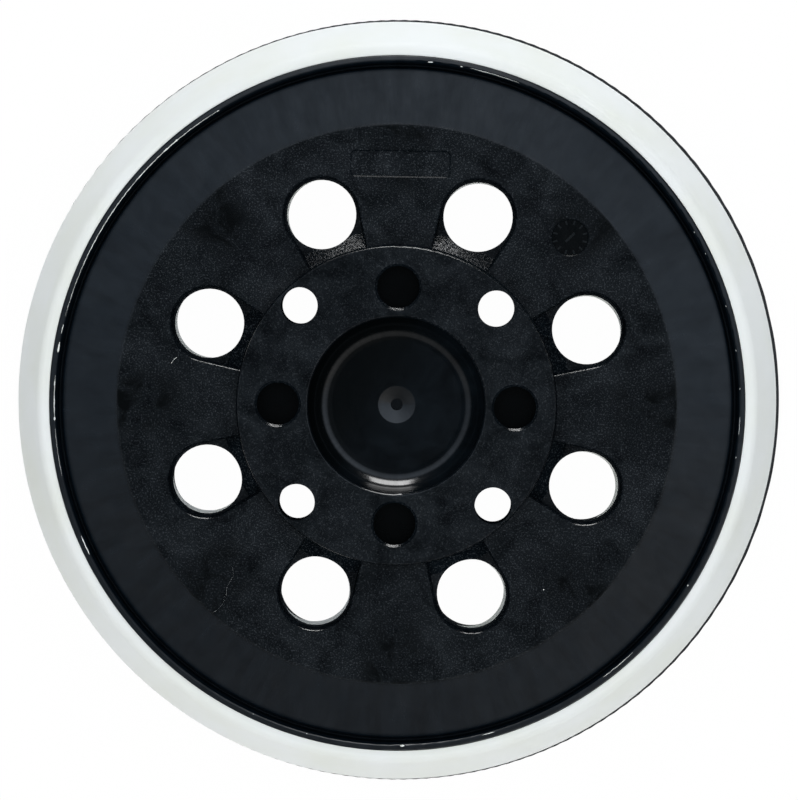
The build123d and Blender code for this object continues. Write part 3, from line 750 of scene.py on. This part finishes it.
class PAD_OT_foam_cushion(bpy.types.Operator):
    """Casts the foam cushion under and round the plate, with its holes"""

    bl_idname = "pad.foam_cushion"
    bl_label = "Foam cushion"

    def execute(self, context):
        size = context.scene.backing_pad.cushion
        rim = size.plate_radius + size.gap
        boss = size.cup_radius + size.gap
        web = size.web_level - size.gap
        ring = web - size.ring_drop
        foot = (size.foot_radius, size.foot_level)
        foot_top = (size.foot_radius, size.foot_level + size.foot_height)
        shoulder = (size.plate_radius + size.shoulder_width, size.shoulder_level - size.shoulder_fall)
        beside_lip = (rim, size.shoulder_level)
        ankle = rounded(foot, foot_top, shoulder, size.foot_round, 6)
        crown = rounded(foot_top, shoulder, beside_lip, size.shoulder_round, 14)
        skin = [foot, *ankle, *between(ankle[-1], crown[0], 16), *crown, *between(crown[-1], beside_lip, 4)]
        seat = [beside_lip, (rim, ring), (size.ring_outer, ring), (size.ring_inner, web), (boss, web),
                (boss, size.cup_level - size.gap)]
        blank = turned_mesh("foam_blank", skin + seat, FOAM_SIDES, lambda radius, angle: radius)

        low, high = web - size.rib_depth, web + size.rib_depth
        values = {
            **hole_values(0.0),
            "Through": 60 * MM,
            "Tube radius": size.tube_radius + size.gap,
            "Tube level": web - size.tube_depth,
            "Ribs": size.rib_count,
            "Rib place": ((size.rib_start + size.rib_end) / 2, 0, (low + high) / 2),
            "Rib size": (size.rib_end - size.rib_start + 2 * size.gap, size.rib_width + 2 * size.gap, high - low),
            "Rim": size.plate_radius + 0.4 * MM,
            "Waviness": size.waviness,
            "Lean": (size.lean_x, size.lean_y, 0),
            "Punch": (size.punch_x, size.punch_y, 0),
            "Punch angle": context.scene.backing_pad.holes.dust_angle + size.punch_turn,
            "Foot level": size.foot_level,
            "Shoulder level": size.shoulder_level,
        }
        tree, given = new_tree("Cast foam cushion", values)
        noise = add_node(tree, "ShaderNodeTexNoise", {"Scale": 1 / (9 * MM), "Detail": 2.0})
        centred = add_node(tree, "ShaderNodeMath", {0: noise, 1: 0.5}, operation="SUBTRACT")
        swell = add_node(tree, "ShaderNodeMath", {0: centred, 1: given["Waviness"]}, operation="MULTIPLY")
        push = add_node(tree, "ShaderNodeVectorMath", {0: add_node(tree, "GeometryNodeInputNormal"), "Scale": swell},
                        operation="SCALE")
        place = add_node(tree, "GeometryNodeInputPosition")
        above = add_node(tree, "ShaderNodeSeparateXYZ", {0: place}).outputs["Z"]
        low_down = add_node(tree, "ShaderNodeMapRange",
                            {"Value": above, "From Min": given["Shoulder level"], "From Max": given["Foot level"]})
        leaning = add_node(tree, "ShaderNodeVectorMath", {0: given["Lean"], "Scale": low_down}, operation="SCALE")
        push = add_node(tree, "ShaderNodeVectorMath", {0: push, 1: leaning}, operation="ADD")
        level = add_node(tree, "ShaderNodeVectorMath", {0: place, 1: (1, 1, 0)}, operation="MULTIPLY")
        out = add_node(tree, "ShaderNodeVectorMath", {0: level}, operation="LENGTH")
        outside = add_node(tree, "ShaderNodeMath", {0: out, 1: given["Rim"]}, operation="GREATER_THAN")
        shape = add_node(tree, "GeometryNodeSetPosition",
                         {"Geometry": given["Geometry"], "Selection": outside, "Offset": push})

        dust, driver = hole_cutters(tree, given)
        tube = add_node(tree, "GeometryNodeMeshCylinder",
                        {"Vertices": HOLE_SIDES, "Radius": given["Tube radius"], "Depth": given["Through"]})
        lifted = add_node(tree, "ShaderNodeMath", {0: given["Through"], 1: 0.5, 2: given["Tube level"]},
                          operation="MULTIPLY_ADD")
        tube = add_node(tree, "GeometryNodeTransform",
                        {"Geometry": tube, "Translation": add_node(tree, "ShaderNodeCombineXYZ", {"Z": lifted})})
        rib = add_node(tree, "GeometryNodeMeshCube", {"Size": given["Rib size"]})
        rib = add_node(tree, "GeometryNodeTransform", {"Geometry": rib, "Translation": given["Rib place"]})
        # A rib is made in its place, so the ribs' circle is tiny and only gives their directions.
        dust_at = (given["Dust holes"], given["Dust circle"])
        shape = cut_round(tree, shape, tube, *dust_at, given["Dust angle"])
        shape = cut_round(tree, shape, rib, given["Ribs"], 0.001 * MM, 0.0)
        shape = cut_round(tree, shape, dust, *dust_at, given["Punch angle"], given["Punch"])
        shape = cut_round(tree, shape, driver, given["Screws"], given["Screw circle"], given["Screw angle"])
        end_tree(tree, shape, foam_material(context.scene.backing_pad.finish))

        cushion = piece_from("cushion_foam", blank, tree, values, math.radians(35))
        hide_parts("foam_cushion")
        return {"FINISHED"}


class PAD_OT_foam_flash(bpy.types.Operator):
    """Lays slivers of foam flash on the crest of the plate's lip"""

    bl_idname = "pad.foam_flash"
    bl_label = "Foam flash"

    def execute(self, context):
        size = context.scene.backing_pad.flash
        # Threads along the lip: from and to, in degrees, and the thickness as a share of the thickest.
        threads = (
            (-51.9, -45.3, 0.3), (-31, -30.7, 0.5), (-8, -7.7, 0.5), (-4, -1, 0.3), (3.5, 3.8, 0.5), (10, 10.2, 0.5),
            (17.6, 17.8, 0.5), (27, 27.2, 0.5), (31, 31.2, 0.5), (70, 78.5, 0.28),
            (72, 72.4, 0.5), (79.9, 80.3, 0.45), (84.9, 85.7, 0.7), (122, 166, 0.5),
            (122, 122.5, 0.8), (130.5, 130.9, 1.0), (132.5, 133.7, 0.9), (143.7, 144, 0.8), (145, 145.3, 0.8),
            (167.4, 169, 0.7), (170.4, 172.2, 1.1), (176, 183.6, 0.5), (177, 177.8, 1.0), (183, 183.6, 0.9),
            (185, 193, 0.2), (203.5, 207, 0.5), (246, 246.2, 0.5), (255.6, 255.8, 0.5), (271.5, 272.3, 1.0),
            (285.4, 287.6, 0.5),
        )
        lines = []
        for start, end, thick in threads:
            run = math.radians(end - start) * size.radius
            steps = max(3, round(run / (0.15 * MM)))
            line = []
            for i in range(steps + 1):
                angle = math.radians(start + (end - start) * i / steps)
                taper = thick * min(1.0, 0.3 + 3 * min(i, steps - i) / steps)
                line.append((size.radius * math.cos(angle), size.radius * math.sin(angle), size.level, taper))
            lines.append(line)
        # A torn thread of foam and a hair-thin one lie on the web: the thickness, then places in millimetres.
        strays = (
            (0.24, ((-35.86, 6.0), (-35.62, 6.4), (-35.32, 6.75), (-34.95, 7.03))),
            (0.03, ((-25.72, -26.2), (-25.5, -27.0), (-25.55, -27.8), (-26.2, -28.8), (-26.55, -29.6), (-26.6, -30.6),
                   (-26.85, -31.6), (-27.4, -32.5), (-28.1, -33.2), (-28.95, -33.7))),
        )
        for thick, places in strays:
            lines.append([(x * MM, y * MM, size.web_level, thick) for x, y in places])
        points, runs, widths = [], [], []
        for line in lines:
            runs += [(len(points) + i, len(points) + i + 1) for i in range(len(line) - 1)]
            points += [place[:3] for place in line]
            widths += [place[3] for place in line]
        mesh = bpy.data.meshes.new("flash_runs")
        mesh.from_pydata(points, runs, [])
        mesh.attributes.new("taper", "FLOAT", "POINT").data.foreach_set("value", widths)

        values = {"Thickness": size.thickness, "Unevenness": 0.16 * MM}
        tree, given = new_tree("Foam flash", values)
        curves = add_node(tree, "GeometryNodeMeshToCurve", {"Mesh": given["Geometry"]})
        noise = add_node(tree, "ShaderNodeTexNoise", {"Scale": 1 / (0.7 * MM), "Detail": 2.0})
        centred = add_node(tree, "ShaderNodeVectorMath", {0: noise.outputs["Color"], 1: (0.5, 0.5, 0.5)},
                           operation="SUBTRACT")
        wander = add_node(tree, "ShaderNodeVectorMath", {0: centred, "Scale": given["Unevenness"]}, operation="SCALE")
        uneven = add_node(tree, "GeometryNodeSetPosition", {"Geometry": curves, "Offset": wander})
        taper = add_node(tree, "GeometryNodeInputNamedAttribute", {"Name": "taper"}, data_type="FLOAT")
        lumps = add_node(tree, "ShaderNodeTexNoise", {"Scale": 1 / (1.3 * MM), "Detail": 3.0, "Roughness": 0.7})
        lumpy = add_node(tree, "ShaderNodeMapRange",
                         {"Value": lumps, "From Min": 0.42, "From Max": 0.62, "To Min": 0.45, "To Max": 1.1})
        width = add_node(tree, "ShaderNodeMath", {0: taper, 1: lumpy}, operation="MULTIPLY")
        section = add_node(tree, "GeometryNodeCurvePrimitiveCircle", {"Resolution": 5, "Radius": given["Thickness"]})
        slivers = add_node(tree, "GeometryNodeCurveToMesh",
                           {"Curve": uneven, "Profile Curve": section, "Scale": width, "Fill Caps": True})
        end_tree(tree, slivers, foam_material(context.scene.backing_pad.finish))
        flash = piece_from("foam_flash", mesh, tree, values, math.radians(50))
        return {"FINISHED"}


class PAD_OT_bond_film(bpy.types.Operator):
    """Gives the bond film its black plastic"""

    bl_idname = "pad.bond_film"
    bl_label = "Bond film"

    def execute(self, context):
        dress_node("bond_film", film_material(context.scene.backing_pad.finish))
        return {"FINISHED"}


class PAD_OT_hook_facing(bpy.types.Operator):
    """Weaves the hook facing: the ground, its knuckles and its hooks"""

    bl_idname = "pad.hook_facing"
    bl_label = "Hook facing"

    def execute(self, context):
        size = context.scene.backing_pad.facing
        finish = context.scene.backing_pad.finish
        low = size.top - size.fabric
        ground = self.ground(size, low, yarn_material("Woven nylon, ground", finish.fabric, size.pitch))
        knuckles = self.rows("weave_knuckles", size, low, self.knuckle, 0.0, 0.9 * MM,
                             yarn_material("Woven nylon, knuckles", finish.fabric, size.pitch))
        hooks = self.rows("micro_hooks", size, low, self.hook, 0.35, 1.3 * MM,
                          yarn_material("Nylon filament", finish.hooks, size.pitch))
        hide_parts("hook_facing")
        return {"FINISHED"}

    def ground(self, size, low, material):
        """The woven ground: a disc whose cut edge steps in between the rows."""
        wave = 2 * math.pi / size.pitch

        def outline(radius, angle):
            return radius - size.scallop * (0.5 - 0.5 * math.cos(wave * radius * math.cos(angle)))

        edge = 0.1 * MM
        profile = [(size.radius - edge, low), (size.radius, low + edge), (size.radius, size.top)]
        blank = turned_mesh("ground_blank", profile, GROUND_SIDES, outline)
        values = {**hole_values(size.hole_margin), "Shift": (size.shift_x, size.shift_y, 0), "Through": 20 * MM}
        tree, given = new_tree("Punched ground", values)
        dust, driver = hole_cutters(tree, given)
        shape = add_node(tree, "GeometryNodeTransform", {"Geometry": given["Geometry"], "Translation": given["Shift"]})
        shape = cut_round(tree, shape, dust, given["Dust holes"], given["Dust circle"], given["Dust angle"])
        shape = cut_round(tree, shape, driver, given["Screws"], given["Screw circle"], given["Screw angle"])
        end_tree(tree, shape, material)
        return piece_from("hook_ground", blank, tree, values, math.radians(40))

    def knuckle(self, tree, size):
        """A float of yarn over the ground: a low dome, longer along the row."""
        ball = add_node(tree, "GeometryNodeMeshIcoSphere", {"Radius": 0.5, "Subdivisions": 1})
        flat = (0.62 * size.pitch, 1.05 * size.spacing, 0.5 * MM)
        return add_node(tree, "GeometryNodeTransform", {"Geometry": ball, "Scale": flat})

    def hook(self, tree, size):
        """One hook: a filament that drops from the ground and bends over."""
        tall = size.hook_height
        bend = add_node(tree, "GeometryNodeCurvePrimitiveBezierSegment",
                        {"Resolution": 6, "Start": (0, 0, 0.1 * MM), "Start Handle": (-0.1 * tall, 0, -1.25 * tall),
                         "End Handle": (0.75 * tall, 0, -1.3 * tall), "End": (0.5 * tall, 0, -0.38 * tall)})
        section = add_node(tree, "GeometryNodeCurvePrimitiveCircle", {"Resolution": 3, "Radius": size.filament})
        return add_node(tree, "GeometryNodeCurveToMesh",
                        {"Curve": bend, "Profile Curve": section, "Fill Caps": True})

    def rows(self, name, size, low, make_shape, sway, border, material):
        """Copies of a shape along every row of the weave, clear of the holes and the edge."""
        values = {
            **hole_values(size.hole_margin + 0.45 * MM),
            "Radius": size.radius - border,
            "Pitch": size.pitch,
            "Spacing": size.spacing,
            "Rows": 2 * int(size.radius / size.pitch) + 1,
            "Per row": 2 * int(size.radius / size.spacing) + 1,
            "Lay": (size.shift_x, size.shift_y, low),
            "Sway": sway,
            "Seed": size.seed,
        }
        tree, given = new_tree(name.replace("_", " ").capitalize(), values)
        sides = []
        for count, gap in (("Rows", "Pitch"), ("Per row", "Spacing")):
            gaps = add_node(tree, "ShaderNodeMath", {0: given[count], 1: 1.0}, operation="SUBTRACT")
            sides.append(add_node(tree, "ShaderNodeMath", {0: gaps, 1: given[gap]}, operation="MULTIPLY"))
        grid = add_node(tree, "GeometryNodeMeshGrid", {"Size X": sides[0], "Size Y": sides[1],
                                                       "Vertices X": given["Rows"], "Vertices Y": given["Per row"]})

        # Every other row is set half a space on and its hooks face the other way. Rows are counted from far left of
        # the pad, with a fraction that keeps each count clear of a whole number.
        far_left = 200.3
        place = add_node(tree, "GeometryNodeInputPosition")
        axes = add_node(tree, "ShaderNodeSeparateXYZ", {0: place})
        row = add_node(tree, "ShaderNodeMath", {0: axes.outputs["X"], 1: given["Pitch"]}, operation="DIVIDE")
        counted = add_node(tree, "ShaderNodeMath", {0: row, 1: far_left}, operation="ADD")
        parity = add_node(tree, "ShaderNodeMath", {0: counted, 1: 2.0}, operation="MODULO")
        odd = add_node(tree, "ShaderNodeMath", {0: parity, 1: 1.0}, operation="GREATER_THAN")
        half = add_node(tree, "ShaderNodeMath", {0: given["Spacing"], 1: 0.5}, operation="MULTIPLY")
        step = add_node(tree, "ShaderNodeMath", {0: odd, 1: half}, operation="MULTIPLY")
        slack = Vector((0.07 * MM, 0.15 * MM, 0))
        loose = add_node(tree, "FunctionNodeRandomValue", {"Min": -slack, "Max": slack, "Seed": given["Seed"]},
                         data_type="FLOAT_VECTOR")
        stepped = add_node(tree, "ShaderNodeVectorMath",
                           {0: add_node(tree, "ShaderNodeCombineXYZ", {"Y": step}), 1: loose}, operation="ADD")
        laid = add_node(tree, "ShaderNodeVectorMath", {0: stepped, 1: given["Lay"]}, operation="ADD")
        points = add_node(tree, "GeometryNodeSetPosition", {"Geometry": grid, "Offset": laid})

        level = add_node(tree, "ShaderNodeVectorMath", {0: place, 1: (1, 1, 0)}, operation="MULTIPLY")
        from_lay = add_node(tree, "ShaderNodeVectorMath", {0: place, 1: given["Lay"]}, operation="SUBTRACT")
        out = add_node(tree, "ShaderNodeVectorMath", {0: from_lay}, operation="LENGTH")
        drop = add_node(tree, "ShaderNodeMath", {0: out, 1: given["Radius"]}, operation="GREATER_THAN")
        patterns = (
            ("Dust holes", "Dust circle", "Dust angle", "Dust radius"),
            ("Screws", "Screw circle", "Screw angle", "Screw access"),
        )
        for count, circle, angle, reach in patterns:
            centres = on_circle(tree, given[count], given[circle], given[angle])
            near = add_node(tree, "GeometryNodeProximity", {"Geometry": centres, "Sample Position": level},
                            target_element="POINTS").outputs["Distance"]
            inside = add_node(tree, "ShaderNodeMath", {0: near, 1: given[reach]}, operation="LESS_THAN")
            drop = add_node(tree, "ShaderNodeMath", {0: drop, 1: inside}, operation="MAXIMUM")
        kept = add_node(tree, "GeometryNodeDeleteGeometry", {"Geometry": points, "Selection": drop}, domain="POINT")

        faced = add_node(tree, "ShaderNodeMath", {0: odd, 1: math.pi}, operation="MULTIPLY")
        least = add_node(tree, "ShaderNodeMath", {0: given["Sway"], 1: -1.0}, operation="MULTIPLY")
        swung = add_node(tree, "FunctionNodeRandomValue", {"Min": least, "Max": given["Sway"], "Seed": given["Seed"]},
                         data_type="FLOAT")
        turn = add_node(tree, "ShaderNodeMath", {0: faced, 1: swung}, operation="ADD")
        grown = add_node(tree, "FunctionNodeRandomValue", {"Min": 0.92, "Max": 1.0, "Seed": given["Seed"]},
                         data_type="FLOAT")
        copies = add_node(tree, "GeometryNodeInstanceOnPoints",
                          {"Points": kept, "Instance": make_shape(tree, size), "Scale": grown,
                           "Rotation": add_node(tree, "ShaderNodeCombineXYZ", {"Z": turn})})
        end_tree(tree, copies, material)
        return piece_from(name, bpy.data.meshes.new(name + "_seed"), tree, values, math.radians(70))


class PAD_PT_sidebar(bpy.types.Panel):
    """Lists the pad's pieces and its sizes"""

    bl_idname = "PAD_PT_sidebar"
    bl_label = "Backing pad"
    bl_space_type = "VIEW_3D"
    bl_region_type = "UI"
    bl_category = "Pad"

    def draw(self, context):
        for piece in PIECES:
            self.layout.operator(piece.bl_idname)
        for group in PadSettings.__annotations__:
            box = self.layout.box()
            sizes = getattr(context.scene.backing_pad, group)
            for name in sizes.__annotations__:
                box.prop(sizes, name)


PIECES = (PAD_OT_stage, PAD_OT_backing_plate, PAD_OT_foam_cushion, PAD_OT_foam_flash, PAD_OT_bond_film,
          PAD_OT_hook_facing)
CLASSES = (PadHoles, CushionSizes, FlashSizes, FacingSizes, PadFinishes, StageSizes, PadSettings, *PIECES,
           PAD_PT_sidebar)


def register():
    for each in CLASSES:
        bpy.utils.register_class(each)
    bpy.types.Scene.backing_pad = PointerProperty(type=PadSettings)


def unregister():
    del bpy.types.Scene.backing_pad
    for each in reversed(CLASSES):
        bpy.utils.unregister_class(each)


def main():
    register()
    bpy.ops.pad.stage()
    bpy.ops.pad.backing_plate()
    bpy.ops.pad.foam_cushion()
    bpy.ops.pad.foam_flash()
    bpy.ops.pad.bond_film()
    bpy.ops.pad.hook_facing()


if __name__ == "__main__":
    main()
